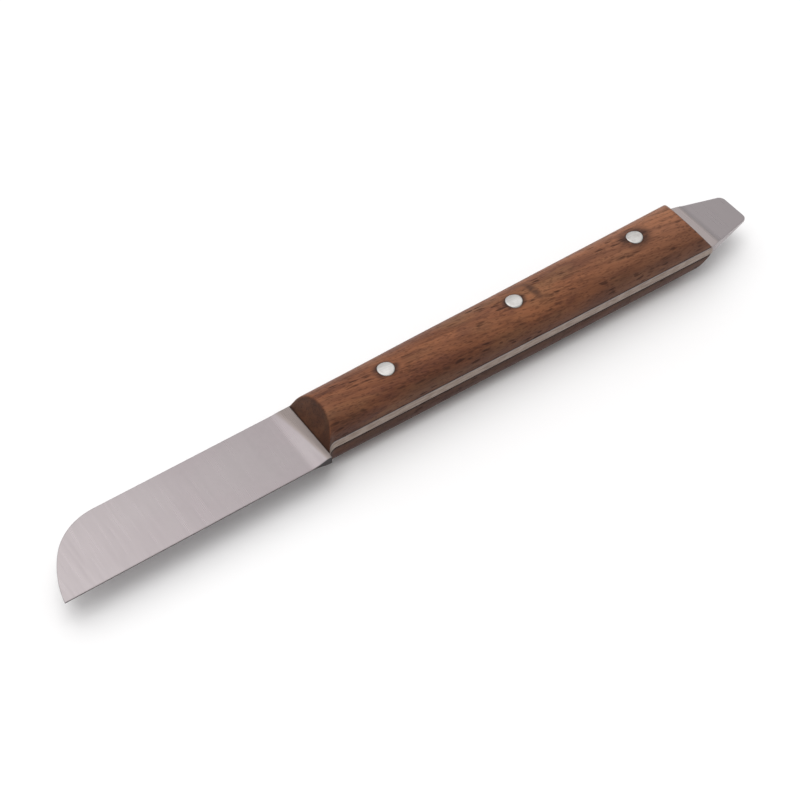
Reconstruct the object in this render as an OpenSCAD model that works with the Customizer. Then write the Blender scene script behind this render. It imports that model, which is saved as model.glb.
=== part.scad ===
// Bench knife with a full tang: one steel piece carries the blade, the tang and a short
// pry tip, two wooden scales cover the tang, and three solid rivets hold them.
// The knife lies on its side: +X runs from the blade to the pry tip, the cutting edge
// faces -Y, and the origin is on the surface it lies on, below the middle of its length.

/* [Blade] */
// Length from the nose to the front of the handle
blade_length = 60.2; // [40:0.5:90]
// Width from the cutting edge to the spine
blade_width = 16.1; // [14:0.1:24]
// Depth ground off each cheek along the spine
spine_grind_d = 0.1; // [0:0.01:0.3]
// Thickness of the ground blade along the cutting edge
edge_t = 0.4; // [0.2:0.05:0.8]
// Radius of the nose where it leaves the spine
nose_shoulder_r = 13; // [8:0.5:16]
// Radius of the nose above the cutting edge
nose_front_r = 24; // [18:0.5:40]
// Direction in which the two nose radii meet, above the level
nose_join_angle = 35; // [25:1:50]
// Full-thickness stretch left between the blade's grind and the handle
heel_land = 1.2; // [1:0.1:5]
// Radius of the grinding wheel's run-out, at the heel and behind the handle
plunge_r = 9; // [3:0.5:14]

/* [Tang] */
// Thickness of the steel stock
stock_t = 2; // [2:0.05:3]
// Radius of the inside corners where the tang meets the heel
shoulder_r = 3; // [1.5:0.1:4]

/* [Handle] */
// Length of the wooden scales
handle_length = 101.2; // [80:0.1:130]
// Width of the handle at its front end, from the spine's line to the belly
handle_front_w = 13.2; // [9:0.1:15]
// Width of the handle at its rear end, from the spine's line to the belly
handle_rear_w = 14.8; // [10:0.1:18]
// Thickness of one scale's ridge, carried to its front end
scale_front_t = 6.2; // [4.5:0.1:7.5]
// Thickness of one scale's ridge, carried to its rear end
scale_rear_t = 7.2; // [5:0.1:9]
// How far the crown's radius exceeds half of the handle's width
crown_ease = 0.1; // [0:0.05:2]
// Lean of the scales' front faces from upright, in degrees
front_lean = 25; // [0:1:45]
// Lean of the scales' rear faces from upright, in degrees
rear_lean = 35; // [0:1:50]

/* [Rivets] */
// Diameter of a rivet's shank
rivet_d = 3.2; // [2:0.1:4]
// How far a rivet's spread head stands out past its shank, all round
rivet_spread = 0.25; // [0.1:0.05:0.8]
// Depth of a rivet's cone-shaped head
rivet_head_h = 1.2; // [0.6:0.1:2]
// Distance from the front of the handle to the front rivet
rivet_start = 19; // [12:0.1:30]
// Distance from the rear rivet to the rear end of the handle
rivet_rear_gap = 17; // [12:0.1:30]
// Gap between a rivet and its holes
rivet_gap = 0.02; // [0:0.01:0.1]

/* [Pry tip] */
// Length of the pry tip behind the handle
pry_length = 13; // [8:0.5:25]
// Width of the pry tip at its end
pry_end_w = 8.4; // [5:0.1:10]
// Thickness of the pry tip at its end
pry_end_t = 0.5; // [0.3:0.05:1]
// Radius of the pry tip's corners
pry_corner_r = 1.5; // [0.5:0.1:2.5]
// Full-thickness stretch left between the handle and the pry tip's grind
pry_land = 1.8; // [0.1:0.1:3]
// Depth of the pry tip's grind at the end of the wheel's run-out
pry_grind_d = 0.22; // [0.05:0.01:0.4]

/* [Hidden] */

$fn = 96;
over = 1;            // how far a cutter runs past what it cuts, and one half of a rivet into the other
arc_steps = 24;      // chords in each radius of the nose

total_length = blade_length + handle_length + pry_length;
heel_x = blade_length - total_length / 2;
butt_x = heel_x + handle_length;
pry_x = total_length / 2;
nose_x = -total_length / 2;
half_w = blade_width / 2;

// The crown: a round bar along the back, which rises toward the rear
crown_r = max(handle_front_w, handle_rear_w) / 2 + crown_ease;
crown_y = half_w - crown_r;
crown_rise = (scale_rear_t - scale_front_t) / handle_length;
crown_top = scale_rear_t / (1 + crown_rise * tan(rear_lean));    // thickest point of one scale
mid_z = stock_t / 2 + crown_top;                                 // middle of the steel, above the bench

// The nose: two arcs in line with each other, from the spine down to the cutting edge
arc_gap = nose_front_r - nose_shoulder_r;
shoulder_y = half_w - nose_shoulder_r;
front_y = shoulder_y - arc_gap * sin(nose_join_angle);
front_x = nose_x + sqrt(pow(nose_front_r, 2) - pow(half_w + front_y, 2));
shoulder_x = front_x - arc_gap * cos(nose_join_angle);
edge_angle = 180 + asin((half_w + front_y) / nose_front_r);   // at the cutting edge

// Belly of the handle, as y at its front and rear ends
belly_front = half_w - handle_front_w;
belly_rear = half_w - handle_rear_w;

// Slope of the blade's ground cheeks, from the edge up to the spine
spine_t = stock_t - 2 * spine_grind_d;
cheek_angle = atan((spine_t - edge_t) / 2 / blade_width);
plunge_x = heel_x - heel_land - plunge_r * sin(acos(1 - (stock_t - edge_t) / 2 / plunge_r));

// Start and slope of the pry tip's ground faces, past the wheel's run-out
pry_start = butt_x + pry_land + plunge_r * sin(acos(1 - pry_grind_d / plunge_r));
pry_angle = atan((stock_t / 2 - pry_grind_d - pry_end_t / 2) / (pry_x - pry_start));

function arc(cx, cy, r, from, to) =
    [for (i = [0:arc_steps]) let (a = from + (to - from) * i / arc_steps) [cx + r * cos(a), cy + r * sin(a)]];

// Rivets: equal steps between the front and the rear one
rivet_head_d = rivet_d + 2 * rivet_spread;
rivet_pitch = (handle_length - rivet_start - rivet_rear_gap) / 2;

function rivet_at(i) = [heel_x + rivet_start + i * rivet_pitch, crown_y];

// Blade seen from above, up to the front of the handle
module blade_outline() {
    join = 180 - nose_join_angle;
    polygon(concat(
        [[heel_x, -half_w], [heel_x, half_w]],
        arc(shoulder_x, shoulder_y, nose_shoulder_r, 90, join),
        arc(front_x, front_y, nose_front_r, join, edge_angle)
    ));
}

// Handle seen from above: its back continues the spine, and its belly sweeps out to the heel
module handle_outline() {
    polygon([[heel_x, belly_front], [butt_x, belly_rear], [butt_x, half_w], [heel_x, half_w]]);
    difference() {
        translate([heel_x, -half_w])
            square([shoulder_r, half_w]);
        translate([heel_x + shoulder_r, belly_front - shoulder_r])
            circle(r = shoulder_r);
    }
}

// Pry tip seen from above
module pry_outline() {
    middle = (belly_rear + half_w) / 2;
    half_end = pry_end_w / 2;
    side = atan((handle_rear_w / 2 - half_end) / pry_length);
    reach = pry_corner_r * tan(45 - side / 2);
    intersection() {
        polygon([[butt_x, belly_rear], [pry_x, middle - half_end], [pry_x, middle + half_end], [butt_x, half_w]]);
        union() {
            translate([butt_x, belly_rear])
                square([pry_length - pry_corner_r, handle_rear_w]);
            translate([butt_x, middle - half_end + reach])
                square([pry_length, pry_end_w - 2 * reach]);
            for (y = [middle - half_end + reach, middle + half_end - reach])
                translate([pry_x - pry_corner_r, y])
                    circle(r = pry_corner_r);
        }
    }
}

// Space above a ground face: a flat, and the round run-out that the wheel leaves
module grind(length, run_out) {
    rotate([90, 0, 0])
        linear_extrude(height = 4 * blade_width, center = true) {
            translate([-length, 0])
                square([length, 2 * run_out]);
            translate([0, run_out])
                circle(r = run_out);
        }
}

// Space above the blade's upper cheek
module cheek_grind() {
    translate([plunge_x, -half_w, edge_t / 2])
        rotate([cheek_angle, 0, 0])
            grind(blade_length + over, plunge_r);
}

// Space above the pry tip's upper face
module pry_grind() {
    translate([pry_start, 0, stock_t / 2 - pry_grind_d])
        rotate([0, pry_angle, 0])
            mirror([1, 0, 0])
                grind(pry_length + over, plunge_r);
}

// Upper end of rivet i, from just below the steel's middle to past the crown
module rivet_end(i, gap) {
    place = rivet_at(i);
    ridge = stock_t / 2 + scale_front_t + crown_rise * (place[0] - heel_x);
    translate([place[0], place[1], -over])
        cylinder(d = rivet_d + 2 * gap, h = ridge + over);
    translate([place[0], place[1], ridge - rivet_head_h]) {
        cylinder(d1 = rivet_d + 2 * gap, d2 = rivet_head_d + 2 * gap, h = rivet_head_h);
        translate([0, 0, rivet_head_h])
            cylinder(d = rivet_head_d + 2 * gap, h = over);
    }
}

// Round bar that the crown of the upper scale belongs to
module crown_bar() {
    translate([heel_x, crown_y, stock_t / 2 + scale_front_t - crown_r])
        rotate([0, 90 - atan(crown_rise), 0])
            translate([0, 0, -crown_r])
                cylinder(r = crown_r, h = handle_length + 2 * crown_r);
}

// One scale above the middle of the steel
module scale_half() {
    difference() {
        intersection() {
            translate([0, 0, stock_t / 2])
                linear_extrude(height = crown_top + over)
                    handle_outline();
            crown_bar();
        }
        translate([heel_x, 0, stock_t / 2])
            rotate([0, front_lean, 0])
                translate([-2 * crown_top, -blade_width, -crown_top])
                    cube([2 * crown_top, 2 * blade_width, 4 * crown_top]);
        translate([butt_x, 0, stock_t / 2])
            rotate([0, -rear_lean, 0])
                translate([0, -blade_width, -crown_top])
                    cube([2 * crown_top, 2 * blade_width, 4 * crown_top]);
        for (i = [0:2])
            rivet_end(i, rivet_gap);
    }
}

module blade_and_tang() {
    color("lightgray")
        translate([0, 0, mid_z])
            difference() {
                translate([0, 0, -stock_t / 2])
                    linear_extrude(height = stock_t) {
                        blade_outline();
                        handle_outline();
                        pry_outline();
                    }
                for (side = [0, 1])
                    mirror([0, 0, side]) {
                        cheek_grind();
                        pry_grind();
                    }
                for (i = [0:2])
                    translate(rivet_at(i))
                        cylinder(d = rivet_d + 2 * rivet_gap, h = stock_t + 2 * over, center = true);
            }
}

module upper_scale() {
    color("saddlebrown")
        translate([0, 0, mid_z])
            scale_half();
}

module lower_scale() {
    color("saddlebrown")
        translate([0, 0, mid_z])
            mirror([0, 0, 1])
                scale_half();
}

module rivet(i) {
    color("gainsboro")
        translate([0, 0, mid_z])
            for (side = [0, 1])
                mirror([0, 0, side])
                    intersection() {
                        rivet_end(i, 0);
                        crown_bar();
                    }
}

module front_rivet() {
    rivet(0);
}

module middle_rivet() {
    rivet(1);
}

module rear_rivet() {
    rivet(2);
}

blade_and_tang();
upper_scale();
lower_scale();
front_rivet();
middle_rivet();
rear_rivet();
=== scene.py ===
# %% [markdown]
# # A bench knife: ground steel, two wooden scales and three rivets
#
# The real knife is one flat piece of stainless steel. Its front is ground thin as the
# blade, its middle is the tang inside the handle, and its rear end sticks out as a
# short pry tip. Two wooden scales are riveted over the tang and sanded round.
#
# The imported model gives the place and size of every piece. Here each piece is worked
# out again as a fine surface, with the small things that a CAD solid leaves out:
# corners broken by sandpaper, the hollow that the grinding wheel leaves, a thin edge.

# %% Load the fixed frame
import math

import bpy
import numpy as np
from mathutils import Matrix, Vector


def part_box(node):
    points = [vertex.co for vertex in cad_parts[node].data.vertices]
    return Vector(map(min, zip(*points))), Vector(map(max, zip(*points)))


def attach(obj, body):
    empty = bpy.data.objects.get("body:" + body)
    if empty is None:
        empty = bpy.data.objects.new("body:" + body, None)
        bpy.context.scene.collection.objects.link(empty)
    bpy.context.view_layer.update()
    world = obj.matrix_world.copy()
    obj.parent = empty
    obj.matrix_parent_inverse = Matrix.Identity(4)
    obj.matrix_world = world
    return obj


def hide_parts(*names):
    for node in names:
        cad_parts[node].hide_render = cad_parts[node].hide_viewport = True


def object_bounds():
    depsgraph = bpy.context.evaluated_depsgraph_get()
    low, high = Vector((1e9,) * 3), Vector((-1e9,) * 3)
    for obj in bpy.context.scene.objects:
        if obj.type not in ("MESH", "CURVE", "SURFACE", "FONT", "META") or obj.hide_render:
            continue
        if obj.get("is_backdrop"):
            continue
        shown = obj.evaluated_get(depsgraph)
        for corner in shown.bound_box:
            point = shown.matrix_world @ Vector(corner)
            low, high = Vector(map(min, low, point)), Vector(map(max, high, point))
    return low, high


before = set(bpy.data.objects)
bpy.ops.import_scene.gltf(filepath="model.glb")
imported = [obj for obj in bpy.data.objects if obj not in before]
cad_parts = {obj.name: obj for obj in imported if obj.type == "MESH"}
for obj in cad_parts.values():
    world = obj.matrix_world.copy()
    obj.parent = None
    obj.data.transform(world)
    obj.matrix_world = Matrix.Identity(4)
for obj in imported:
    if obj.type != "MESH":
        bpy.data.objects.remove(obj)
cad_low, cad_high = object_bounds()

MM = 0.001
print("CAD box in mm:", [round(v / MM, 2) for v in (*cad_low, *cad_high)])

# %% [markdown]
# ## Sizes
#
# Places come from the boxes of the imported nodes: where the handle starts and ends, how
# thick the steel is, where each rivet stands. The few sizes that no box can give, such
# as the radius of the crown or the lean of the end faces, are written out once here.

# %% Sizes of the steel, the handle and the rivets
steel_low, steel_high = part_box("blade_and_tang")
upper_low, upper_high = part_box("upper_scale")

nose_x, tip_x = steel_low.x, steel_high.x
edge_y, spine_y = steel_low.y, steel_high.y
heel_x, butt_x = upper_low.x, upper_high.x
handle_length = butt_x - heel_x
mid_z = (steel_low.z + steel_high.z) / 2
half_stock = (steel_high.z - steel_low.z) / 2

BELLY_FRONT = spine_y - 13.2 * MM
BELLY_REAR = spine_y - 14.8 * MM
RIDGE_FRONT = 6.2 * MM
RIDGE_REAR = 7.2 * MM
CROWN_R = 7.5 * MM
FRONT_LEAN = math.radians(25)
REAR_LEAN = math.radians(35)
SHOULDER_R = 3 * MM
crown_y = spine_y - CROWN_R
ridge_rise = (RIDGE_REAR - RIDGE_FRONT) / handle_length

rivets = {}
for name in ("front_rivet", "middle_rivet", "rear_rivet"):
    low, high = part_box(name)
    rivets[name] = ((low.x + high.x) / 2, (low.y + high.y) / 2, (high.x - low.x) / 2)
print("rivets at x, y and radius in mm:", {k: [round(v / MM, 2) for v in r] for k, r in rivets.items()})

# %% [markdown]
# ## Turning arrays into a mesh
#
# Every surface below is a grid: rows along the piece, columns round it. A closed shape
# could be joined with bridge tools, but on a grid the neighbours are known from their
# numbers, so the faces are a small sum. The signed volume of the finished shape says
# whether its faces point outwards, and if it is negative every face is turned over.

# %% Grid faces, end fans and the mesh itself
def grid_faces(rows, cols, closed):
    """Quads of a grid: a corner's number is row * cols + column, and the columns wrap round if closed."""
    row = np.arange(rows - 1)[:, None]
    col = np.arange(cols if closed else cols - 1)[None, :]
    after = (col + 1) % cols
    corners = (row * cols + col, row * cols + after, (row + 1) * cols + after, (row + 1) * cols + col)
    return np.stack(np.broadcast_arrays(*corners), axis=-1).reshape(-1, 4)


def fan_faces(ring, pole):
    """Triangles from each pair of neighbours in a ring of point numbers to one pole."""
    return np.stack([ring, np.roll(ring, -1), np.full_like(ring, pole)], axis=-1)


def closed_tube(rows, poles):
    """Points and faces of a row of loops, closed at each end by a fan of triangles to its pole."""
    count, cols = rows.shape[:2]
    first = np.arange(cols)
    first_cap = fan_faces(first[::-1], count * cols)
    last_cap = fan_faces(first + (count - 1) * cols, count * cols + 1)
    return np.concatenate([rows.reshape(-1, 3), poles]), [grid_faces(count, cols, True), first_cap, last_cap]


def signed_volume(points, faces):
    """Sum of a . (b x c) / 6 over the triangles of all the faces: positive if they point outwards."""
    total = 0.0
    for part in faces:
        for k in range(1, part.shape[1] - 1):
            a, b, c = points[part[:, 0]], points[part[:, k]], points[part[:, k + 1]]
            total += np.einsum("ij,ij->", a, np.cross(b, c)) / 6
    return total


def new_piece(name, points, faces, node_name, slot_name):
    """Makes the mesh, turns it the right way out, and lets it stand for its CAD node, if it has one."""
    if signed_volume(points, faces) < 0:
        faces = [part[:, ::-1] for part in faces]
    mesh = bpy.data.meshes.new(name)
    mesh.from_pydata(points.tolist(), [], [f for part in faces for f in part.tolist()])
    mesh.polygons.foreach_set("use_smooth", np.ones(len(mesh.polygons), bool))
    piece = bpy.data.objects.new(name, mesh)
    bpy.context.scene.collection.objects.link(piece)
    if node_name:
        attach(piece, "root")
        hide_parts(node_name)
    print(f"{name}: {len(mesh.vertices)} points, {len(mesh.polygons)} faces, "
          f"{abs(signed_volume(points, faces)) / MM ** 3:.0f} mm3")
    return piece


def round_corner(start, corner, end, turn):
    """Quarter ellipse: corner + (start - corner)(1 - sin a) + (end - corner)(1 - cos a).

    The angle a goes from 0 to 90 degrees as turn goes from 0 to 1.
    """
    angle = turn * math.pi / 2
    return corner + (start - corner) * (1 - np.sin(angle)) + (end - corner) * (1 - np.cos(angle))


print("a closed grid of 3 rows and 4 columns has", len(grid_faces(3, 4, True)), "faces")

# %% [markdown]
# ## The wooden scales
#
# A scale is a flat-backed strip of wood with a round crown. On the bench it is sawn,
# riveted on, and sanded on a belt together with the tang, which leaves a flat side on
# the belly, ends that lean back, and corners that are slightly round.
#
# A bevelled CAD copy would keep its corners evenly round and its faces long and thin.
# Instead one cross-section is drawn as a loop whose pieces each have their own formula,
# and the loop is carried from the front face to the rear face. Close to the tang the
# corners stay crisp, and where the hand goes they are broad. At the heel the belly side
# swings out into a small lip, down to the corner of the blade.

# %% The cross-section of a scale, at any place along the handle
BELLY_EASE = 2.2 * MM      # broad corner between the crown and the flat belly
SEAM_EASE = 0.16 * MM      # crisp corner against the tang
LIP = 2.05 * MM            # swing of the belly side out to the heel
LIP_POWER = 2.3            # how fast that swing dies away behind the heel
SANDING_DEPTH = 0.03 * MM
SANDING_WAVES = (5.3 * MM, 8.9 * MM)
SEGMENT_POINTS = {"seam": 4, "belly": 6, "corner": 12, "crown": 52, "back": 4, "underside": 12}
segment_of = np.repeat(np.arange(len(SEGMENT_POINTS)), list(SEGMENT_POINTS.values()))
step_of = np.concatenate([np.arange(n) / n for n in SEGMENT_POINTS.values()])


def sanding_wave(x, phase):
    """The waviness that hand sanding leaves: two slow sines along the handle, never above the true crown."""
    short, long = SANDING_WAVES
    return SANDING_DEPTH * (np.sin(x / short + phase) + np.sin(x / long + 2 * phase) - 2)


def heel_flare(x, y):
    """How far the belly side swings out, at a distance d behind the heel.

    LIP (1 - d / SHOULDER_R) to the power LIP_POWER, times the square of how near the point is to the belly.
    """
    closeness = np.clip((heel_x + SHOULDER_R - x) / SHOULDER_R, 0, 1) ** LIP_POWER
    return LIP * closeness * np.clip((crown_y - y) / (crown_y - BELLY_FRONT), 0, 1) ** 2


def scale_section(x, phase):
    """(y, height above the tang) of every loop point, for x in rows by loop points.

    Belly: a vertical line. Crown: a circle arc of radius CROWN_R round (crown_y, centre). Underside: the
    tang's plane. The corners between them are quarter ellipses that leave both neighbours without a kink.
    """
    centre = RIDGE_FRONT - CROWN_R + ridge_rise * (x - heel_x) + sanding_wave(x, phase)
    belly = BELLY_FRONT + (BELLY_REAR - BELLY_FRONT) * (x - heel_x) / handle_length
    level = np.zeros_like(x)

    arc_from = np.arcsin((belly - crown_y) / CROWN_R) + BELLY_EASE / CROWN_R
    arc_to = np.arccos(-centre / CROWN_R) - SEAM_EASE / CROWN_R
    from_y, from_h = crown_y + CROWN_R * np.sin(arc_from), centre + CROWN_R * np.cos(arc_from)
    to_y, to_h = crown_y + CROWN_R * np.sin(arc_to), centre + CROWN_R * np.cos(arc_to)
    reach = (from_y - belly) / np.cos(arc_from)
    corner_h = from_h + reach * np.sin(arc_from)
    wall_h = corner_h - reach
    back_reach = to_h / np.sin(arc_to)
    back_y = to_y + back_reach * np.cos(arc_to)

    turn = np.broadcast_to(step_of, x.shape)
    angle = arc_from + (arc_to - arc_from) * turn
    run = back_y - back_reach
    y = np.choose(segment_of, [
        round_corner(belly + SEAM_EASE, belly, belly, turn),
        belly,
        round_corner(belly, belly, from_y, turn),
        crown_y + CROWN_R * np.sin(angle),
        round_corner(to_y, back_y, run, turn),
        run + (belly + SEAM_EASE - run) * turn,
    ])
    height = np.choose(segment_of, [
        round_corner(level, level, SEAM_EASE, turn),
        SEAM_EASE + (wall_h - SEAM_EASE) * turn,
        round_corner(wall_h, corner_h, from_h, turn),
        centre + CROWN_R * np.cos(angle),
        round_corner(to_h, level, level, turn),
        level,
    ])
    return y - heel_flare(x, y), height


print("loop of a scale:", len(step_of), "points in", list(SEGMENT_POINTS))

# %% [markdown]
# The end faces lean, so each loop leans too: the first loop lies in the front face, the
# last in the rear face, and those between turn slowly from one lean to the other. A
# loop point's x depends on its height and its height on x, and a few repeats settle it.
# Each end then gets a rounded rim and a flat cap that closes to one point.

# %% The two end faces
END_EASE = 0.85 * MM       # sanded corner round an end face, from a millimetre off the tang
RIM_STEPS = np.linspace(0, 1, 7)
CAP_SHARES = np.array([0.12, 0.35, 0.6, 0.82, 0.95])


def end_rows(rim, inner, lean_normal):
    """Rows from the middle of an end face out to the body: shrunken copies of the rim, then a corner.

    The corner grows with the height above the tang. It is also multiplied by the fourth power of the
    cosine between the body's direction and the face's normal, so the slanting lip stays crisp.
    """
    forward = inner - rim
    forward /= np.linalg.norm(forward, axis=1, keepdims=True)
    along_rim = np.roll(rim, -1, axis=0) - np.roll(rim, 1, axis=0)
    inward = np.cross(lean_normal, along_rim)
    inward /= np.linalg.norm(inward, axis=1, keepdims=True)
    if np.sum(inward * (rim.mean(axis=0) - rim)) < 0:
        inward = -inward
    squareness = np.abs(forward @ lean_normal)[:, None] ** 4
    ease = SEAM_EASE + (END_EASE - SEAM_EASE) * np.clip(rim[:, 2:] / MM, 0, 1) * squareness
    start, end = rim + inward * ease, rim + forward * ease
    rounded = round_corner(start[None], rim[None], end[None], RIM_STEPS[:, None, None])
    middle = start.mean(axis=0)
    cap = middle + (start - middle)[None] * CAP_SHARES[:, None, None]
    return np.concatenate([cap, rounded])


print("rows at each end of a scale:", len(CAP_SHARES) + len(RIM_STEPS))

# %% Carry the section along the handle
FIRST_SHARE = 0.0075       # first and last rows of the body, as shares of the handle's length
LAST_SHARE = 0.9915
LIP_SHARE = 0.04           # end of the stretch with close rows, where the lip is
END_STEP = 0.001           # the rows that tell in which direction the body leaves an end face
LIP_ROWS = 26
BODY_ROWS = 130
SETTLING_ROUNDS = 5


def scale_surface(side, phase):
    """Points and faces of one scale: loops along the handle. side is 1 above the tang and -1 below it."""
    near_lip = np.linspace(FIRST_SHARE, LIP_SHARE, LIP_ROWS, endpoint=False)
    body = np.linspace(LIP_SHARE, LAST_SHARE, BODY_ROWS)
    share = np.concatenate([[0, END_STEP], near_lip, body, [1 - END_STEP, 1]])[:, None]
    x = heel_x + share * handle_length + 0 * step_of
    for _ in range(SETTLING_ROUNDS):
        y, height = scale_section(x, phase)
        front = heel_x + height * math.tan(FRONT_LEAN)
        rear = butt_x - height * math.tan(REAR_LEAN)
        x = front + (rear - front) * share
    loops = np.stack([x, y, height], axis=-1)
    front_normal = np.array([-math.cos(FRONT_LEAN), 0, math.sin(FRONT_LEAN)])
    rear_normal = np.array([math.cos(REAR_LEAN), 0, math.sin(REAR_LEAN)])
    head = end_rows(loops[0], loops[1], front_normal)
    tail = end_rows(loops[-1], loops[-2], rear_normal)[::-1]
    rows = np.concatenate([head, loops[2:-2], tail])
    poles = np.stack([rows[0].mean(axis=0), rows[-1].mean(axis=0)])
    points, faces = closed_tube(rows, poles)
    points[:, 2] = mid_z + side * (half_stock + points[:, 2])
    return points, faces


upper_scale = new_piece("upper_wood_scale", *scale_surface(1, 0.6), "upper_scale", "handle_wood")
lower_scale = new_piece("lower_wood_scale", *scale_surface(-1, 2.1), "lower_scale", "handle_wood")

# %% [markdown]
# ## The steel
#
# The blade is ground on a big wheel: two flat cheeks that meet in a thin edge, and near
# the handle a hollow where the wheel leaves the steel. Behind the handle a second grind
# thins the pry tip. Seen from above, the steel has four sides: the nose, the edge and
# belly, the end of the pry tip, and the spine.
#
# A knife blade is often modelled by extruding its outline, which leaves no room for the
# grind. Here the outline gives a grid of four sides, and the thickness at each point is
# a formula in x and y. The distance from each point to the outline then rounds the rim.

# %% The two long sides and the nose, as seen from above
NOSE_SHOULDER_R = 13 * MM
NOSE_FRONT_R = 24 * MM
NOSE_JOIN = math.radians(35)
PRY_END_W = 8.4 * MM
PRY_CORNER_R = 1.5 * MM

NOSE_POINTS = 66
nose_gap = NOSE_FRONT_R - NOSE_SHOULDER_R
shoulder_y = spine_y - NOSE_SHOULDER_R
front_y = shoulder_y - nose_gap * math.sin(NOSE_JOIN)
front_x = nose_x + math.sqrt(NOSE_FRONT_R ** 2 - (edge_y - front_y) ** 2)
shoulder_x = front_x - nose_gap * math.cos(NOSE_JOIN)
pry_middle = (BELLY_REAR + spine_y) / 2


def nose_line(share):
    """Front arc from the cutting edge up, then the smaller arc up to the spine, evenly spaced by length."""
    low_angle = math.asin((front_y - edge_y) / NOSE_FRONT_R)
    front_length = NOSE_FRONT_R * (NOSE_JOIN + low_angle)
    shoulder_length = NOSE_SHOULDER_R * (math.pi / 2 - NOSE_JOIN)
    travel = share * (front_length + shoulder_length)
    on_front = travel < front_length
    shoulder_angle = NOSE_JOIN + (travel - front_length) / NOSE_SHOULDER_R
    angle = np.where(on_front, travel / NOSE_FRONT_R - low_angle, shoulder_angle)
    radius = np.where(on_front, NOSE_FRONT_R, NOSE_SHOULDER_R)
    centre_x = np.where(on_front, front_x, shoulder_x)
    centre_y = np.where(on_front, front_y, shoulder_y)
    return np.stack([centre_x - radius * np.cos(angle), centre_y + radius * np.sin(angle)], axis=-1)


def heel_lip(turn):
    """Near side behind the heel: a hollow quarter circle from the heel corner up to the belly."""
    centre_x = heel_x + SHOULDER_R
    centre_y = BELLY_FRONT - SHOULDER_R
    low = math.asin((edge_y - centre_y) / SHOULDER_R)
    angle = low + (math.pi / 2 - low) * turn
    return np.stack([centre_x - SHOULDER_R * np.cos(angle), centre_y + SHOULDER_R * np.sin(angle)], axis=-1)


def pry_side(sign, along, turn):
    """One side of the pry tip: a straight run by along, then the corner's arc by turn, to the end line."""
    root = np.array([butt_x, pry_middle + sign * (spine_y - pry_middle)])
    slope = math.atan2(spine_y - pry_middle - PRY_END_W / 2, tip_x - butt_x)
    reach = PRY_CORNER_R * math.tan(math.pi / 4 - slope / 2)
    centre = np.array([tip_x - PRY_CORNER_R, pry_middle + sign * (PRY_END_W / 2 - reach)])
    angle = (math.pi / 2 - slope) * (1 - turn)
    arc = centre + PRY_CORNER_R * np.stack([np.cos(angle), sign * np.sin(angle)], axis=-1)
    start = centre + PRY_CORNER_R * np.array([math.sin(slope), sign * math.cos(slope)])
    return np.concatenate([root + (start - root) * along[:, None], arc])


print("nose arcs meet at x, y in mm:", [round(v / MM, 2) for v in (
    front_x - NOSE_FRONT_R * math.cos(NOSE_JOIN), front_y + NOSE_FRONT_R * math.sin(NOSE_JOIN))])

# %% [markdown]
# The rows of the grid run from the near side to the far side. In front of the heel each
# row is a mix of the curved nose line and the straight heel line. Rows stand close
# together where the shape changes fast: at the nose, in the wheel's hollow, and at the
# two ends of the pry tip's grind.

# %% Lay the grid over the steel
RIM_OFFSETS = np.array([0, 0.02, 0.05, 0.1, 0.2, 0.4]) * MM
NOSE_OFFSETS = np.append(RIM_OFFSETS, 0.8 * MM)
CENTRE_COLS = NOSE_POINTS - 2 * len(RIM_OFFSETS)
FLAT_START, FLAT_END = 0.014, 0.9      # even rows on the ground flat, as shares of the blade's length
HOLLOW_END = 0.992                     # close rows from the flat's end to here, in the wheel's hollow
PRY_HOLLOW = 0.36                      # close rows up to this share of the pry tip's side
CORNER_STEPS = 12


def across(near, far):
    """Points from near to far: fixed small distances inside each side, and even steps between them."""
    span = np.linalg.norm(far - near, axis=-1, keepdims=True)
    edge_share = RIM_OFFSETS[None, :] / span
    inner = np.linspace(0, 1, CENTRE_COLS + 2)[1:-1]
    inner = edge_share[:, -1:] + (1 - 2 * edge_share[:, -1:]) * inner[None, :]
    share = np.concatenate([edge_share, inner, 1 - edge_share[:, ::-1]], axis=1)
    return near[:, None] + (far - near)[:, None] * share[..., None], share


def graded(start, end, count):
    """Even steps after start, up to and with end."""
    return np.linspace(start, end, count + 1)[1:]


heel_near, heel_far = np.array([[heel_x, edge_y]]), np.array([[heel_x, spine_y]])
heel_row, heel_share = across(heel_near, heel_far)
nose_row = nose_line(heel_share[0])
blade_share = np.concatenate([
    NOSE_OFFSETS / (heel_x - nose_x),
    graded(FLAT_START, FLAT_END, 90),
    graded(FLAT_END, HOLLOW_END, 46),
    graded(HOLLOW_END, 1, 4),
])[:, None, None]
blade_rows = nose_row[None] * (1 - blade_share) + heel_row * blade_share

lip_turn = graded(0, 1, CORNER_STEPS)
tang_end = butt_x - 2 * MM
tang_near_x = np.concatenate([graded(heel_x + SHOULDER_R, tang_end, 60), graded(tang_end, butt_x, 8)])
near_y = BELLY_FRONT + (BELLY_REAR - BELLY_FRONT) * (tang_near_x - heel_x) / handle_length
tang_near = np.concatenate([heel_lip(lip_turn), np.stack([tang_near_x, near_y], axis=-1)])
tang_far_x = np.concatenate([heel_x + SHOULDER_R * lip_turn, tang_near_x])
tang_far = np.stack([tang_far_x, np.full_like(tang_far_x, spine_y)], axis=-1)

pry_along = np.concatenate([graded(0, PRY_HOLLOW, 44), graded(PRY_HOLLOW, 1, 22)])
pry_turn = graded(0, 1, CORNER_STEPS)
pry_near = pry_side(-1, pry_along, pry_turn)
pry_far = pry_side(1, pry_along, pry_turn)
rear_rows, _ = across(np.concatenate([tang_near, pry_near]), np.concatenate([tang_far, pry_far]))
plan = np.concatenate([blade_rows, rear_rows])
print("steel grid:", plan.shape[:2])

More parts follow.
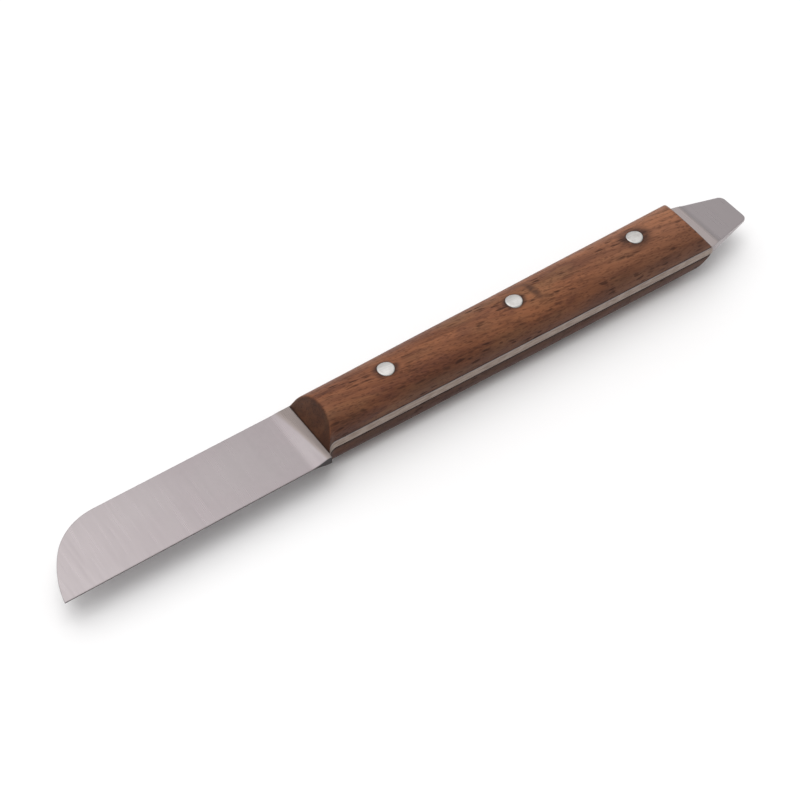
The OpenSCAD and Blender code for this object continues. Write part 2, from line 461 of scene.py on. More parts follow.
# %% [markdown]
# The thickness is the smallest of three things: the full stock, the blade's grind and
# the pry tip's grind. A real wheel leaves no perfect corner between them, so a soft
# minimum joins them. It is the usual smallest value, lowered a little where two of them
# come within a fraction of a millimetre of each other.

# %% Thickness of the steel at each point
EDGE_T = 0.4 * MM
SPINE_GRIND = 0.1 * MM     # ground off each cheek along the spine
HEEL_LAND = 1.2 * MM       # full thickness left between the hollow and the handle
WHEEL_R = 9 * MM
WHEEL_LIMIT = 0.95         # the arc is followed out to this share of the wheel's radius
PRY_LAND = 1.8 * MM
PRY_GRIND = 0.22 * MM
PRY_END_T = 0.5 * MM
RIM_R = 0.1 * MM           # rounding of the steel's outline
HEEL_SOFT = 0.34 * MM
PRY_SOFT = 0.09 * MM
BATCH = 2000
TINY = 1e-18               # keeps a segment of no length from dividing by zero


def soft_min(a, b, soft):
    """Smallest of a and b, lowered by (soft - |a - b|)^2 / 4 soft where they differ by less than soft."""
    near = np.clip(soft - np.abs(a - b), 0, None)
    return np.minimum(a, b) - near ** 2 / (4 * soft)


def wheel_rise(distance):
    """Height of the wheel's arc above the ground flat, at a distance past the point where it leaves it."""
    distance = np.clip(distance, 0, WHEEL_R * WHEEL_LIMIT)
    return WHEEL_R - np.sqrt(WHEEL_R ** 2 - distance ** 2)


def half_thickness(x, y):
    """Soft minimum of the stock, the blade's sloping cheek and the pry tip's sloping flat.

    Each slope is a plane up to where the wheel leaves it, and the wheel's arc from there on.
    """
    cheek_slope = (half_stock - SPINE_GRIND - EDGE_T / 2) / (spine_y - edge_y)
    deepest = half_stock - EDGE_T / 2
    plunge_x = heel_x - HEEL_LAND - math.sqrt(2 * WHEEL_R * deepest - deepest ** 2)
    cheek = EDGE_T / 2 + (y - edge_y) * cheek_slope + wheel_rise(x - plunge_x)
    pry_x = butt_x + PRY_LAND + math.sqrt(2 * WHEEL_R * PRY_GRIND - PRY_GRIND ** 2)
    pry_slope = (half_stock - PRY_GRIND - PRY_END_T / 2) / (tip_x - pry_x)
    pry = half_stock - PRY_GRIND - (x - pry_x) * pry_slope + wheel_rise(pry_x - x)
    full = np.full_like(x, half_stock)
    thin = soft_min(full, np.where(x < heel_x, cheek, 2 * half_stock), HEEL_SOFT)
    return soft_min(thin, np.where(x > butt_x - MM, pry, 2 * half_stock), PRY_SOFT)


def distance_to_line(points, line):
    """Shortest distance from each point to a closed line: to the nearest spot on each of its segments.

    The points are taken a batch at a time, because points times segments is a large array.
    """
    step = np.roll(line, -1, axis=0) - line
    square_length = np.maximum((step ** 2).sum(axis=1), TINY)
    nearest = []
    for batch in np.array_split(points, math.ceil(len(points) / BATCH)):
        gap = batch[:, None] - line[None]
        share = np.clip((gap * step[None]).sum(axis=2) / square_length[None], 0, 1)
        nearest.append(np.linalg.norm(gap - share[..., None] * step[None], axis=2).min(axis=1))
    return np.concatenate(nearest)


print("half thickness in mm at the edge, the spine and the pry tip's end:", np.round(half_thickness(
    np.array([nose_x, nose_x, tip_x]), np.array([edge_y, spine_y, pry_middle])) / MM, 3))

# %% [markdown]
# The upper face, the lower face and the wall between them share their points along the
# outline, so the piece is closed. Two numbers stored on the points mark the narrow
# faces. belt_wall is 1 along the tang, where a belt sanded steel and wood together, and
# edge_wall is 1 along the cutting edge, which is painted dark as shade. The material
# reads both.

# %% Build the steel
WALL_SHARES = (0.96, -0.96)     # heights of the wall's two rings, as shares of the half thickness
HEEL_CORNER = 0.3 * MM
BUTT_CORNER = 0.2 * MM
EDGE_BAND = 0.7 * MM


def steel_surface():
    """Upper grid, its mirror image below, and two rings of wall points between them along the outline."""
    rows, cols = plan.shape[:2]
    number = np.arange(rows * cols).reshape(rows, cols)
    outline = np.concatenate([number[:-1, 0], number[-1, :-1], number[:0:-1, -1], number[0, :0:-1]])
    flat = plan.reshape(-1, 2)
    depth = np.clip(RIM_R - distance_to_line(flat, flat[outline]), 0, RIM_R)
    height = half_thickness(flat[:, 0], flat[:, 1]) - (RIM_R - np.sqrt(RIM_R ** 2 - depth ** 2))
    upper = np.column_stack([flat, mid_z + height])
    lower = np.column_stack([flat, mid_z - height])
    rim = flat[outline]
    walls = [np.column_stack([rim, mid_z + share * height[outline]]) for share in WALL_SHARES]
    points = np.concatenate([upper, lower, *walls])
    face = grid_faces(rows, cols, False)
    count = len(outline)
    first_ring = 2 * rows * cols + np.arange(count)
    rings = [outline, first_ring, first_ring + count, outline + rows * cols]
    strips = [np.stack([a, np.roll(a, -1), np.roll(b, -1), b], axis=-1) for a, b in zip(rings, rings[1:])]
    faces = [face, face[:, ::-1] + rows * cols, *strips]
    on_wall = np.arange(len(points)) >= 2 * rows * cols
    x, y = points[:, 0], points[:, 1]
    belt_wall = on_wall & (x > heel_x + HEEL_CORNER) & (x < butt_x + BUTT_CORNER)
    edge_wall = on_wall & (x <= heel_x + HEEL_CORNER) & (y < edge_y + EDGE_BAND)
    return points, faces, {"belt_wall": belt_wall, "edge_wall": edge_wall}


steel_points, steel_faces, walls_of = steel_surface()
steel = new_piece("steel_blade_and_tang", steel_points, steel_faces, "blade_and_tang", "blade_steel")
for name, marked in walls_of.items():
    steel.data.attributes.new(name, "FLOAT", "POINT").data.foreach_set("value", marked.astype(np.float32))

# %% [markdown]
# ## The rivets
#
# Each rivet is a soft metal pin that was hammered at both ends and ground flush with
# the wood. A plain cylinder would stand out as a flat coin. The real head follows the
# crown, its middle stands a few hundredths of a millimetre proud of it, and its rim is
# slightly broken. So the head is a turned profile laid on the crown: its height is the
# crown's height plus a low dome.

# %% Build the rivets
RIVET_TURNS = 64
HEAD_SHARES = np.array([0.12, 0.3, 0.5, 0.68, 0.82, 0.9, 0.95, 0.985, 1.0])
SIDE_SHARES = np.array([0.75, 0.25, -0.25, -0.75])
HEAD_PROUD = 0.03 * MM
RIM_START = 0.9            # share of the radius where the rim starts to drop
RIM_DROP = 0.07 * MM


def crown_height(x, y):
    """Height of the wooden crown above the tang at a point seen from above."""
    return RIDGE_FRONT - CROWN_R + ridge_rise * (x - heel_x) + np.sqrt(CROWN_R ** 2 - (y - crown_y) ** 2)


def turned_pin(place_x, place_y, radius, follow_crown):
    """A closed pin: rings out over the upper head, down the side and in over the lower head.

    Dome: HEAD_PROUD (1 - s^2 / 2) at a share s of the radius. Rim: a square-law drop over the last tenth.
    """
    angle = np.linspace(0, 2 * math.pi, RIVET_TURNS, endpoint=False)
    share = HEAD_SHARES[:, None] + 0 * angle
    x = place_x + radius * share * np.cos(angle)
    y = place_y + radius * share * np.sin(angle)
    if follow_crown:
        rim = np.clip((share - RIM_START) / (1 - RIM_START), 0, 1)
        dome = HEAD_PROUD * (1 - share ** 2 / 2) - RIM_DROP * rim ** 2
        top = half_stock + crown_height(x, y) + dome
        pole = half_stock + crown_height(place_x, place_y) + HEAD_PROUD
    else:
        pole = half_stock + RIDGE_REAR + MM
        top = np.full_like(x, pole)
    side = SIDE_SHARES[:, None] * top[-1]
    upper = np.stack([x, y, mid_z + top], axis=-1)
    lower = np.stack([x, y, mid_z - top], axis=-1)[::-1]
    wall = np.stack([x[-1] + 0 * side, y[-1] + 0 * side, mid_z + side], axis=-1)
    poles = [[place_x, place_y, mid_z + pole], [place_x, place_y, mid_z - pole]]
    return closed_tube(np.concatenate([upper, wall, lower]), poles)


pins = {}
for name, (place_x, place_y, radius) in rivets.items():
    points, faces = turned_pin(place_x, place_y, radius, True)
    pins[name] = new_piece(f"{name}_pin", points, faces, name, "rivet_metal")

# %% [markdown]
# The holes are drilled after the scales and the steel are made, as on the real knife. A
# Boolean cut is the direct way. It would be a poor way to make the scales themselves,
# but for a round hole through a fine grid it gives a clean rim. The hole is a little
# wider than the rivet, and that gap shows as the thin dark ring round each head.

# %% Drill the holes
HOLE_GAP = 0.07 * MM
SHARP_ANGLE = math.radians(32)


def drill(piece, drill_bit):
    """Cuts one drill bit's shape out of a piece and keeps the result as its mesh."""
    cut = piece.modifiers.new("drill", "BOOLEAN")
    cut.operation, cut.solver, cut.object = "DIFFERENCE", "EXACT", drill_bit
    result = bpy.data.meshes.new_from_object(piece.evaluated_get(bpy.context.evaluated_depsgraph_get()))
    piece.modifiers.remove(cut)
    piece.data = result


for name, (place_x, place_y, radius) in rivets.items():
    points, faces = turned_pin(place_x, place_y, radius + HOLE_GAP, False)
    drill_bit = new_piece("drill_bit", points, faces, None, None)
    for piece in (upper_scale, lower_scale, steel):
        drill(piece, drill_bit)
    bpy.data.objects.remove(drill_bit)
for piece in (upper_scale, lower_scale, steel):
    piece.data.polygons.foreach_set("use_smooth", np.ones(len(piece.data.polygons), bool))
    piece.data.set_sharp_from_angle(angle=SHARP_ANGLE)
    print(piece.name, "after drilling:", len(piece.data.polygons), "faces")

# %% [markdown]
# ## Materials
#
# A material here is a small network of nodes. Every pattern reads the object's own
# coordinates, so it is fixed in the wood or the metal like real grain, and runs
# through the piece: the same pore that is a line on the side is a dot on the end.

# %% A short way to write node networks
def new_material(name):
    """An empty material with a Principled shader, and its node tree."""
    material = bpy.data.materials.new(name)
    material.use_nodes = True
    tree = material.node_tree
    return material, tree, tree.nodes["Principled BSDF"]


def add(tree, kind, settings=None, **inputs):
    """Adds one node. An input is named by its socket, or by its number after a low line, such as _0.

    A socket given as an input's value is linked, and any other value is set.
    """
    node = tree.nodes.new(kind)
    for key, value in (settings or {}).items():
        setattr(node, key, value)
    for key, value in inputs.items():
        socket = node.inputs[int(key[1:]) if key.startswith("_") else key.replace("_", " ")]
        if isinstance(value, bpy.types.NodeSocket):
            tree.links.new(value, socket)
        else:
            socket.default_value = value
    return node


def place(tree, scale, turn=0.0, centre=(0, 0, 0)):
    """Object coordinates from a centre, turned about z, then scaled to repeats per metre on each axis."""
    coordinates = add(tree, "ShaderNodeTexCoord").outputs["Object"]
    subtract = {"operation": "SUBTRACT"}
    centred = add(tree, "ShaderNodeVectorMath", subtract, _0=coordinates, _1=centre).outputs[0]
    turned = add(tree, "ShaderNodeMapping", Vector=centred, Rotation=(0, 0, math.radians(turn))).outputs[0]
    return add(tree, "ShaderNodeMapping", Vector=turned, Scale=scale).outputs[0]


def noise(tree, vector, detail=3.0, roughness=0.5, distortion=0.0):
    """A noise value from 0 to 1 with about one lump per unit."""
    settings = {"Detail": detail, "Roughness": roughness, "Distortion": distortion}
    return add(tree, "ShaderNodeTexNoise", Vector=vector, Scale=1.0, **settings).outputs[0]


def ramp(tree, value, low, high, to_low=0.0, to_high=1.0):
    """Smooth step of a value from low..high to to_low..to_high."""
    smooth = {"interpolation_type": "SMOOTHSTEP"}
    span = {"From_Min": low, "From_Max": high, "To_Min": to_low, "To_Max": to_high}
    return add(tree, "ShaderNodeMapRange", smooth, Value=value, **span).outputs[0]


def sums(tree, operation, a, b):
    """One step of arithmetic on two values."""
    return add(tree, "ShaderNodeMath", {"operation": operation}, _0=a, _1=b).outputs[0]


def mix(tree, share, a, b):
    """Mixes colour b into colour a by share. Sockets 0, 6 and 7 are the node's factor and its two colours."""
    node = add(tree, "ShaderNodeMix", {"data_type": "RGBA"})
    for socket, value in ((node.inputs[0], share), (node.inputs[6], a), (node.inputs[7], b)):
        if isinstance(value, bpy.types.NodeSocket):
            tree.links.new(value, socket)
        else:
            socket.default_value = value if isinstance(value, float) else (*value, 1)
    return node.outputs[2]


def split(tree, vector):
    """The x, y and z of a vector, as three outputs."""
    return add(tree, "ShaderNodeSeparateXYZ", Vector=vector).outputs


def unsigned(tree, value):
    """A value without its sign."""
    return add(tree, "ShaderNodeMath", {"operation": "ABSOLUTE"}, _0=value).outputs[0]


def from_steel_middle(tree):
    """The place of a point along x and y, and its height above the middle of the steel."""
    return split(tree, place(tree, (1, 1, 1), 0.0, (0, 0, mid_z)))


def give(piece, material):
    """Makes a material the only one of a piece."""
    piece.data.materials.clear()
    piece.data.materials.append(material)
    print(f"{piece.name}: {material.name}, {len(material.node_tree.nodes)} nodes")


print("height of the steel's middle, in mm:", round(mid_z / MM, 3))

# %% [markdown]
# ### Oiled open-pored wood
#
# The handle is a dense brown hardwood. Its colour drifts slowly across the growth
# rings, darker streaks run along it, and on top lie the pores: short dark strokes one
# to three millimetres long. The grain isn't quite in line with the handle.
#
# Pores could be stretched noise, but noise makes clouds. Stretched cells give separate
# strokes, each with its own random number, which decides whether the pore is there.

# %% Pores
GRAIN_TURN = 9.0           # degrees between the grain and the handle
PORE_SIZE = 0.5            # reach of a stroke inside its cell
PORE_CORE = 0.45           # the dark middle, as a share of that
PORE_FADE = 0.25           # span of random numbers over which a pore goes from absent to dark
LONG_PORES = (300, 1500, 0.25)      # cells per metre along and across the grain, and the number to beat
FINE_PORES = (800, 3000, 0.2)


def pores(tree, along, across, keep):
    """Dark strokes: the middle of each stretched cell whose own random number is above keep."""
    vector = place(tree, (along, across, across), GRAIN_TURN)
    wobble = noise(tree, place(tree, (along * 1.3, across * 0.5, across * 0.5), GRAIN_TURN), 2.0)
    bent = add(tree, "ShaderNodeVectorMath", {"operation": "ADD"}, _0=vector, _1=wobble).outputs[0]
    cells = add(tree, "ShaderNodeTexVoronoi", Vector=bent, Scale=1.0).outputs
    core = ramp(tree, cells["Distance"], PORE_SIZE * PORE_CORE, PORE_SIZE, 1.0, 0.0)
    red = add(tree, "ShaderNodeSeparateColor", Color=cells["Color"]).outputs[0]
    return sums(tree, "MULTIPLY", core, ramp(tree, red, keep, keep + PORE_FADE))


print("long pores every", round(1 / LONG_PORES[0] / MM, 2), "mm along the grain")

# %% [markdown]
# Under the pores the colour is built from the slow to the fast: the figure of the
# growth rings, reddish patches, warmer and yellower stretches, a paler rear end, dark
# streaks, and last the fibres. Each is one noise that decides how much of one more
# colour is mixed in. Noise on its own would look like marble, so every layer is drawn
# out along the grain, the faster ones more.

# %% Colours of the wood
DARK_RING, PALE_RING = (0.092, 0.028, 0.013), (0.305, 0.115, 0.050)
RED_PATCH = (0.085, 0.028, 0.020)
YELLOW_BROWN = (0.190, 0.100, 0.048)
PALE_REAR = (0.360, 0.160, 0.085)
STREAK = (0.055, 0.017, 0.010)
FIBRE = (0.310, 0.125, 0.062)
REAR_FADE = (30 * MM, 65 * MM)


def bare_wood(tree, tone, fibres):
    """Colour of the wood under its pores. Each layer is colour + share (next colour - colour)."""
    shift = (0.0, 0.0, tone)
    figure = noise(tree, place(tree, (22, 190, 190), GRAIN_TURN, shift), 5.0, 0.6, 0.4)
    colour = mix(tree, ramp(tree, figure, 0.3, 0.7), DARK_RING, PALE_RING)
    patches = noise(tree, place(tree, (110, 260, 260), GRAIN_TURN, (0.01, 0.02, tone)), 4.0, 0.6)
    colour = mix(tree, ramp(tree, patches, 0.48, 0.68, 0.0, 0.6), colour, RED_PATCH)
    warmth = noise(tree, place(tree, (70, 240, 240), GRAIN_TURN, (0.03, 0.05, tone)), 3.0)
    colour = mix(tree, ramp(tree, warmth, 0.45, 0.7, 0.0, 0.5), colour, YELLOW_BROWN)
    x = from_steel_middle(tree)[0]
    colour = mix(tree, ramp(tree, x, *REAR_FADE, 0.0, 0.5), colour, PALE_REAR)
    streaks = noise(tree, place(tree, (60, 1100, 1100), GRAIN_TURN, shift), 4.0, 0.65, 0.3)
    colour = mix(tree, ramp(tree, streaks, 0.42, 0.68, 0.0, 0.5), colour, STREAK)
    return mix(tree, ramp(tree, fibres, 0.3, 0.7, 0.0, 0.3), colour, FIBRE)


print("red, green and blue of the pale rings:", PALE_RING)

# %% [markdown]
# Round each rivet the oil and the hammer have stained the wood, most of all at the
# rear, and a small knot crosses the grain behind the middle rivet. Both are distances
# from a known place, turned into a share. A patchy noise breaks up their outlines.

# %% Stains and the knot
HALO = {"front_rivet": 1.45, "middle_rivet": 1.35, "rear_rivet": 2.1}     # reach, in rivet radii
HALO_CORE, HALO_DEPTH = 0.8, 0.85
HALO_WEIGHT = 0.75         # less than 1 along the grain, so a halo is longer that way
KNOT = (rivets["middle_rivet"][0] + 5.2 * MM, rivets["middle_rivet"][1] + 0.2 * MM, 0)
KNOT_TURN = -6.0
KNOT_WEIGHT = 0.35         # less than 1 across the grain, so the knot is longer that way
KNOT_FADE = (0.3 * MM, 1.4 * MM)
KNOT_DEPTH = 0.7


def distance_from(tree, centre, turn, weight_x, weight_y):
    """Distance from a centre as seen from above, with each turned axis multiplied by its weight."""
    offset = place(tree, (weight_x, weight_y, 0.0), turn, centre)
    return add(tree, "ShaderNodeVectorMath", {"operation": "LENGTH"}, _0=offset).outputs["Value"]


def stains(tree, tone):
    """How stained the wood is: the largest of the three halos and the knot, times a patchy noise."""
    stain = 0.0
    for name, (place_x, place_y, radius) in rivets.items():
        gap = distance_from(tree, (place_x, place_y, 0), GRAIN_TURN, HALO_WEIGHT, 1.0)
        halo = ramp(tree, gap, radius * HALO_CORE, radius * HALO[name], HALO_DEPTH, 0.0)
        stain = sums(tree, "MAXIMUM", halo, stain)
    gap = distance_from(tree, KNOT, KNOT_TURN, 1.0, KNOT_WEIGHT)
    stain = sums(tree, "MAXIMUM", ramp(tree, gap, *KNOT_FADE, KNOT_DEPTH, 0.0), stain)
    patchy = ramp(tree, noise(tree, place(tree, (300, 500, 500), 0.0, (0.0, 0.0, tone)), 3.0), 0.25, 0.5)
    return sums(tree, "MULTIPLY", stain, patchy)


print("knot at x, y in mm:", [round(v / MM, 2) for v in KNOT[:2]])

# %% [markdown]
# The rest is painted shade and oil. The belly side, which faces away from the light, is
# painted darker as shade, a thin line of painted shade runs along the seam with the tang,
# and the lower board is painted darker as a whole, as shade. End grain soaks up more oil,
# and its darkening is made stronger as painted shade on the end faces. The belly side and
# the end faces are found from the surface's own direction, which turns with the piece and
# so stays put. Pores are holes, so the same value that darkens them also makes them rough
# and sinks them.

# %% The finished wood
PORE_DARK = (0.022, 0.009, 0.007)
STAIN_DARK = (0.028, 0.012, 0.009)
# painted shade on the belly side, which faces away from the light
BELLY_PAINTED_SHADE = (0.028, 0.008, 0.005)
# painted shade over the whole lower board
BOARD_PAINTED_SHADE = (0.020, 0.007, 0.006)
# painted shade in the seam along the tang, and how far from the tang it reaches
SEAM_PAINTED_SHADE = (0.016, 0.008, 0.006)
SEAM_SHADE_REACH = (0.05 * MM, 0.7 * MM)
# end grain is darker from oil, with painted shade added on the end faces
END_GRAIN_AND_PAINTED_SHADE = (0.026, 0.012, 0.008)


def shade_and_end_grain(tree, colour, facing, end_grain, shade):
    """Paints shade on the belly side, over the whole board by shade and along the seam with the tang, and
    darkens the end faces for oil and painted shade.
    """
    # painted shade: surfaces that face the belly side are darkened
    colour = mix(tree, ramp(tree, facing[1], -1.0, -0.3, 0.5, 0.0), colour, BELLY_PAINTED_SHADE)
    # painted shade over the whole board, by shade
    colour = mix(tree, shade, colour, BOARD_PAINTED_SHADE)
    above_tang = sums(tree, "SUBTRACT", unsigned(tree, from_steel_middle(tree)[2]), half_stock)
    # painted shade: a dark line along the seam, close above the tang
    colour = mix(tree, ramp(tree, above_tang, *SEAM_SHADE_REACH, 0.85, 0.0), colour, SEAM_PAINTED_SHADE)
    # end faces: darker from oil, made stronger as painted shade
    return mix(tree, sums(tree, "MULTIPLY", end_grain, 0.7), colour, END_GRAIN_AND_PAINTED_SHADE)


def wood_material(name, tone, shade):
    """Oiled hardwood. tone moves the pattern to another part of the log, shade is how much painted shade
    darkens the whole board.
    """
    material, tree, shader = new_material(name)
    shift = (0.0, 0.0, tone)
    fibres = noise(tree, place(tree, (300, 5200, 5200), GRAIN_TURN, shift), 3.0, 0.6)
    facing = split(tree, add(tree, "ShaderNodeTexCoord").outputs["Normal"])
    end_grain = ramp(tree, unsigned(tree, facing[0]), 0.3, 0.75)
    clusters = ramp(tree, noise(tree, place(tree, (90, 420, 420), GRAIN_TURN, shift), 3.0), 0.38, 0.62)
    long_pores = sums(tree, "MULTIPLY", pores(tree, *LONG_PORES), clusters)
    long_pores = sums(tree, "MULTIPLY", long_pores, sums(tree, "SUBTRACT", 1.0, end_grain))
    depth = sums(tree, "MAXIMUM", long_pores, sums(tree, "MULTIPLY", pores(tree, *FINE_PORES), 0.5))

    colour = mix(tree, sums(tree, "MULTIPLY", depth, 0.75), bare_wood(tree, tone, fibres), PORE_DARK)
    colour = mix(tree, stains(tree, tone), colour, STAIN_DARK)
    colour = shade_and_end_grain(tree, colour, facing, end_grain, shade)
    tree.links.new(colour, shader.inputs["Base Color"])
    tree.links.new(ramp(tree, depth, 0.0, 1.0, 0.5, 0.75), shader.inputs["Roughness"])
    shader.inputs["Specular IOR Level"].default_value = 0.2
    relief = sums(tree, "SUBTRACT", sums(tree, "MULTIPLY", fibres, 0.25), depth)
    bump = add(tree, "ShaderNodeBump", Height=relief, Strength=0.55, Distance=0.06 * MM)
    tree.links.new(bump.outputs[0], shader.inputs["Normal"])
    return material


give(upper_scale, wood_material("oiled_wood_upper", 0.0, 0.0))
# the lower board gets 0.52 of painted shade over all of it
give(lower_scale, wood_material("oiled_wood_lower", 0.031, 0.52))

# %% [markdown]
# ### Ground steel
#
# The cheeks are satin: a belt has left fine lines across the blade, from the spine to
# the edge. The lines are noise squeezed hard along x and drawn out along y. They change
# the roughness and tilt the surface a little, and broader, fainter bands under them
# keep the cheek from looking like a sheet of plastic. The nose and the pry tip get a
# painted highlight: their colour is made a little brighter than the rest.

# %% The cheeks
DULL_LINE, BRIGHT_LINE = (0.310, 0.273, 0.283), (0.366, 0.325, 0.336)
BAND = (0.316, 0.287, 0.294)
MOTTLE = (0.300, 0.272, 0.278)
CLOUD = (0.352, 0.335, 0.333)
# painted highlight on the nose and the pry tip, and how much of it
PAINTED_HIGHLIGHT_END = (0.412, 0.376, 0.382)
HIGHLIGHT_SHARE = 0.75
FINE_LINES, MIDDLING_LINES = 5200, 1500      # repeats per metre along the blade


def satin_lines(tree):
    """Fine and middling lines across the blade, in equal shares."""
    fine = noise(tree, place(tree, (FINE_LINES, 90, 90), 2.0), 3.0, 0.7)
    middling = noise(tree, place(tree, (MIDDLING_LINES, 60, 60), -1.5), 3.0, 0.6)
    return sums(tree, "ADD", sums(tree, "MULTIPLY", fine, 0.5), sums(tree, "MULTIPLY", middling, 0.5))


def cheek_colour(tree, lines, x):
    """Lines, broad bands, mottle and cloud, and a painted highlight at the ends: most at the nose and behind
    the handle.
    """
    colour = mix(tree, ramp(tree, lines, 0.3, 0.7), DULL_LINE, BRIGHT_LINE)
    broad = noise(tree, place(tree, (260, 40, 40), 1.0), 2.0)
    colour = mix(tree, ramp(tree, broad, 0.3, 0.7, 0.0, 0.3), colour, BAND)
    mottle = noise(tree, place(tree, (900, 900, 900)), 3.0, 0.6)
    colour = mix(tree, ramp(tree, mottle, 0.4, 0.65, 0.0, 0.25), colour, MOTTLE)
    cloud = noise(tree, place(tree, (60, 90, 90)), 3.0)
    colour = mix(tree, ramp(tree, cloud, 0.35, 0.65, 0.0, 0.3), colour, CLOUD)
    # painted highlight: brighter toward the nose and behind the handle
    nose = ramp(tree, x, nose_x, heel_x - 8 * MM, HIGHLIGHT_SHARE, 0.0)
    pry = ramp(tree, x, butt_x, butt_x + 2 * MM, 0.0, HIGHLIGHT_SHARE)
    return mix(tree, sums(tree, "MAXIMUM", nose, pry), colour, PAINTED_HIGHLIGHT_END)


print("satin lines:", FINE_LINES * MM, "fine and", MIDDLING_LINES * MM, "middling ones a millimetre")

# %% [markdown]
# Where the stock keeps its full thickness, just in front of the handle and just behind
# it, it keeps its old skin. The narrow walls have colours of their own: the coarse belt
# that sanded steel and wood together, and a dark line of painted shade along the cutting
# edge. The numbers stored on the points say where these walls are.

# %% The steel
FRONT_SKIN, REAR_SKIN = (0.268, 0.232, 0.220), (0.420, 0.372, 0.366)
SKIN_DEPTH = (0.12 * MM, 0.004 * MM)      # below full thickness: none of the skin left, all of it left
BELT_DARK, BELT_BRIGHT = (0.24, 0.185, 0.155), (0.36, 0.295, 0.255)
# painted shade: the colour of the cutting edge's wall
EDGE_PAINTED_SHADE = (0.045, 0.040, 0.040)


def steel_material():
    """Satin cheeks, the skin at full thickness, and the two kinds of wall: the sanded one rougher, the edge
    one painted dark as shade.
    """
    material, tree, shader = new_material("satin_ground_steel")
    lines = satin_lines(tree)
    position = from_steel_middle(tree)
    lost, kept = SKIN_DEPTH
    stock = ramp(tree, unsigned(tree, position[2]), half_stock - lost, half_stock - kept)
    skin = mix(tree, ramp(tree, position[0], heel_x, butt_x), FRONT_SKIN, REAR_SKIN)
    cheek = mix(tree, stock, cheek_colour(tree, lines, position[0]), skin)
    wall = add(tree, "ShaderNodeAttribute", {"attribute_name": "belt_wall"}).outputs["Fac"]
    edge = add(tree, "ShaderNodeAttribute", {"attribute_name": "edge_wall"}).outputs["Fac"]
    coarse = noise(tree, place(tree, (420, 3000, 3000)), 3.0)
    belt = mix(tree, ramp(tree, coarse, 0.3, 0.7), BELT_DARK, BELT_BRIGHT)
    # the edge wall is painted dark as shade
    colour = mix(tree, edge, mix(tree, wall, cheek, belt), EDGE_PAINTED_SHADE)
    tree.links.new(colour, shader.inputs["Base Color"])
    shader.inputs["Metallic"].default_value = 1.0
    rough = sums(tree, "ADD", ramp(tree, lines, 0.3, 0.7, 0.25, 0.40), sums(tree, "MULTIPLY", wall, 0.12))
    tree.links.new(rough, shader.inputs["Roughness"])
    bump = add(tree, "ShaderNodeBump", Height=lines, Strength=0.2, Distance=0.005 * MM)
    tree.links.new(bump.outputs[0], shader.inputs["Normal"])
    return material


give(steel, steel_material())

# %% [markdown]
# ### Rivet metal
#
# The heads are white and soft-looking: sanded along with the wood, so the scratches
# run along the handle, and peppered with small dents from the hammer.

# %% The rivets' metal
SCRATCH_DARK, SCRATCH_BRIGHT = (0.56, 0.55, 0.53), (0.68, 0.67, 0.65)
OXIDE = (0.42, 0.39, 0.37)


def rivet_material():
    """Scratches along x, hammer dents from rounded cells, and a faint grey cloudiness."""
    material, tree, shader = new_material("sanded_rivet_metal")
    scratches = noise(tree, place(tree, (240, 6200, 6200), 6.0), 3.0, 0.6)
    dents = add(tree, "ShaderNodeTexVoronoi", Vector=place(tree, (1300, 1300, 1300)), Scale=1.0)
    cloud = noise(tree, place(tree, (800, 800, 800)), 2.0)
    colour = mix(tree, ramp(tree, scratches, 0.3, 0.7), SCRATCH_DARK, SCRATCH_BRIGHT)
    colour = mix(tree, ramp(tree, cloud, 0.4, 0.7, 0.0, 0.35), colour, OXIDE)
    tree.links.new(colour, shader.inputs["Base Color"])
    shader.inputs["Metallic"].default_value = 1.0
    tree.links.new(ramp(tree, scratches, 0.3, 0.7, 0.28, 0.42), shader.inputs["Roughness"])
    relief = sums(tree, "ADD", sums(tree, "MULTIPLY", scratches, 0.3), dents.outputs["Distance"])
    bump = add(tree, "ShaderNodeBump", Height=relief, Strength=0.3, Distance=0.03 * MM)
    tree.links.new(bump.outputs[0], shader.inputs["Normal"])
    return material


rivet_metal = rivet_material()
for pin in pins.values():
    give(pin, rivet_metal)

# %% [markdown]
# ## Floor, light and camera
#
# The knife lies on a plain pale table. The softbox above it lights the table and the
# wood, and is left out of reflections: the flat cheeks would show it as a white patch
# from nearly straight above, and hardly at all from anywhere else.
#
# Steel is seen by what it mirrors, so the studio round the knife matters more. Its
# walls are dark low down and grow bright toward a spot twenty degrees to the spine side
# of straight overhead. The ground cheek, the wheel's hollow and the pry tip each tilt a
# few degrees differently, and so each mirrors another step of that rise.

# %% Floor
FLOOR_SIZE = 6.0
bpy.ops.mesh.primitive_plane_add(size=FLOOR_SIZE)
floor = bpy.context.object
floor.name = "pale_floor"
floor_material, _, floor_shader = new_material("pale_table")
floor_shader.inputs["Base Color"].default_value = (0.93, 0.93, 0.93, 1)
floor_shader.inputs["Roughness"].default_value = 0.9
floor_shader.inputs["Specular IOR Level"].default_value = 0.1
floor.data.materials.append(floor_material)
floor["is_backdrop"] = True
print("floor:", FLOOR_SIZE, "m square")

# %% Softbox
SOFTBOX_PLACE = Vector((-0.25, -0.2, 1.2))      # from the middle of the knife
SOFTBOX_SIZE = 0.8
SOFTBOX_WATTS = 5.6
scene = bpy.context.scene
scene.view_settings.view_transform = "Standard"
centre = (cad_low + cad_high) / 2
softbox = bpy.data.lights.new("overhead_softbox", "AREA")
softbox.shape = "SQUARE"
softbox.size = SOFTBOX_SIZE
softbox.energy = SOFTBOX_WATTS
lamp = bpy.data.objects.new("overhead_softbox", softbox)
scene.collection.objects.link(lamp)
lamp.visible_glossy = False
lamp.location = centre + SOFTBOX_PLACE
lamp.rotation_euler = (-SOFTBOX_PLACE).to_track_quat("-Z", "Y").to_euler()
print("softbox hangs", round(lamp.location.z, 2), "m above the table")

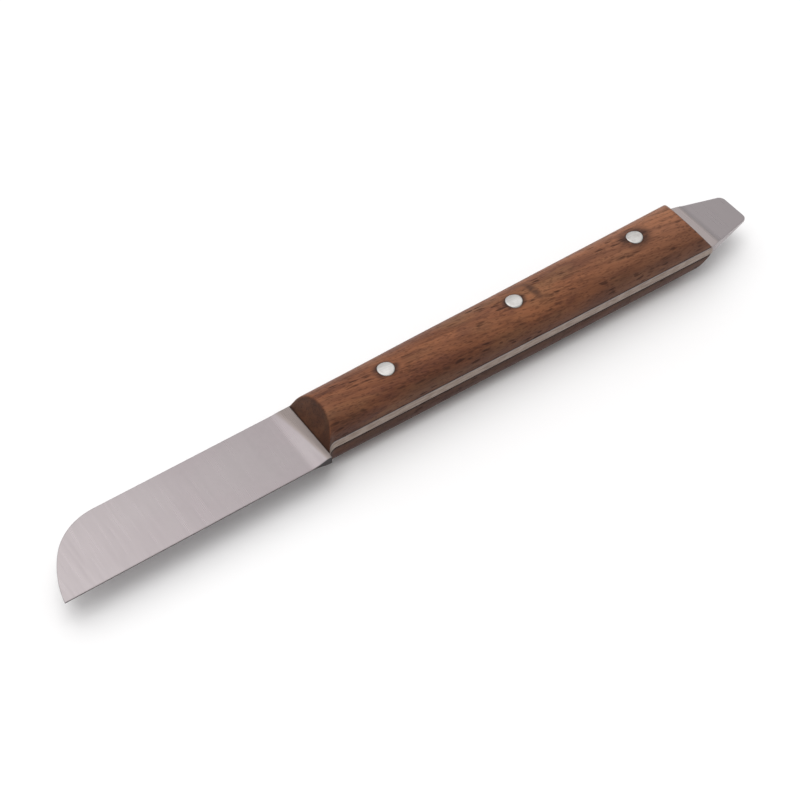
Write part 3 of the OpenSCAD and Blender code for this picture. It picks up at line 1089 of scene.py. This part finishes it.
# %% Studio walls
STUDIO_TILT = math.radians(20)
STUDIO_STRENGTH = 1.9
STUDIO = [
    (0.0, (0.20, 0.20, 0.20)),
    (0.60, (0.33, 0.33, 0.33)),
    (0.86, (0.49, 0.48, 0.48)),
    (0.915, (0.65, 0.64, 0.64)),
    (0.97, (0.92, 0.91, 0.91)),
    (1.0, (1.0, 1.0, 1.0)),
]      # cosine of the angle to the bright spot, and the wall's colour there
world = bpy.data.worlds.new("studio")
scene.world = world
world.use_nodes = True
studio = world.node_tree
direction = add(studio, "ShaderNodeTexCoord").outputs["Generated"]
bright_spot = (0, math.sin(STUDIO_TILT), math.cos(STUDIO_TILT))
upward = add(studio, "ShaderNodeVectorMath", {"operation": "DOT_PRODUCT"}, _0=direction, _1=bright_spot)
walls = add(studio, "ShaderNodeValToRGB", Fac=upward.outputs["Value"])
stops = walls.color_ramp.elements
stops[0].position, stops[0].color = STUDIO[0][0], (*STUDIO[0][1], 1)
stops[1].position, stops[1].color = STUDIO[-1][0], (*STUDIO[-1][1], 1)
for height, colour in STUDIO[1:-1]:
    stops.new(height).color = (*colour, 1)
studio.links.new(walls.outputs[0], studio.nodes["Background"].inputs["Color"])
studio.nodes["Background"].inputs["Strength"].default_value = STUDIO_STRENGTH
print("studio:", len(stops), "steps of brightness from the floor to the bright spot")

# %% [markdown]
# The camera looks down on the handle from the side of the cutting edge, with the nose
# of the blade nearest. It is placed by its direction: back points from the knife to the
# camera, right and up span the picture, and a small roll turns both.

# %% Camera
AZIMUTH = math.radians(-34.62)
ELEVATION = math.radians(49.60)
ROLL = math.radians(-0.24)
DISTANCE = 0.37917
LENS, SENSOR = 83.03, 36
NEAREST = 0.01
AIM = Vector((-6.9 * MM, -2.91 * MM, 0))      # what the camera looks at, from the middle of the knife

away = math.cos(ELEVATION)
back = Vector((math.sin(AZIMUTH) * away, -math.cos(AZIMUTH) * away, math.sin(ELEVATION)))
level = Vector((math.cos(AZIMUTH), math.sin(AZIMUTH), 0))
upright = back.cross(level)
right = math.cos(ROLL) * level + math.sin(ROLL) * upright
up = math.cos(ROLL) * upright - math.sin(ROLL) * level
camera = bpy.data.objects.new("camera", bpy.data.cameras.new("camera"))
scene.collection.objects.link(camera)
camera.data.lens = LENS
camera.data.sensor_width = SENSOR
camera.data.clip_start = NEAREST
pose = Matrix((right, up, back)).transposed().to_4x4()
pose.translation = centre + AIM + back * DISTANCE
camera.matrix_world = pose
scene.camera = camera
print("camera stands", round(camera.matrix_world.translation.z, 3), "m above the table")

# %% [markdown]
# ## Size of the finished knife
#
# The box of the finished knife is printed, as the box of the imported model was at the
# start, so the two can be set side by side.

# %% Print the box of the finished knife
low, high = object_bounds()
print("visual box in mm:", [round(v / MM, 2) for v in (*low, *high)])
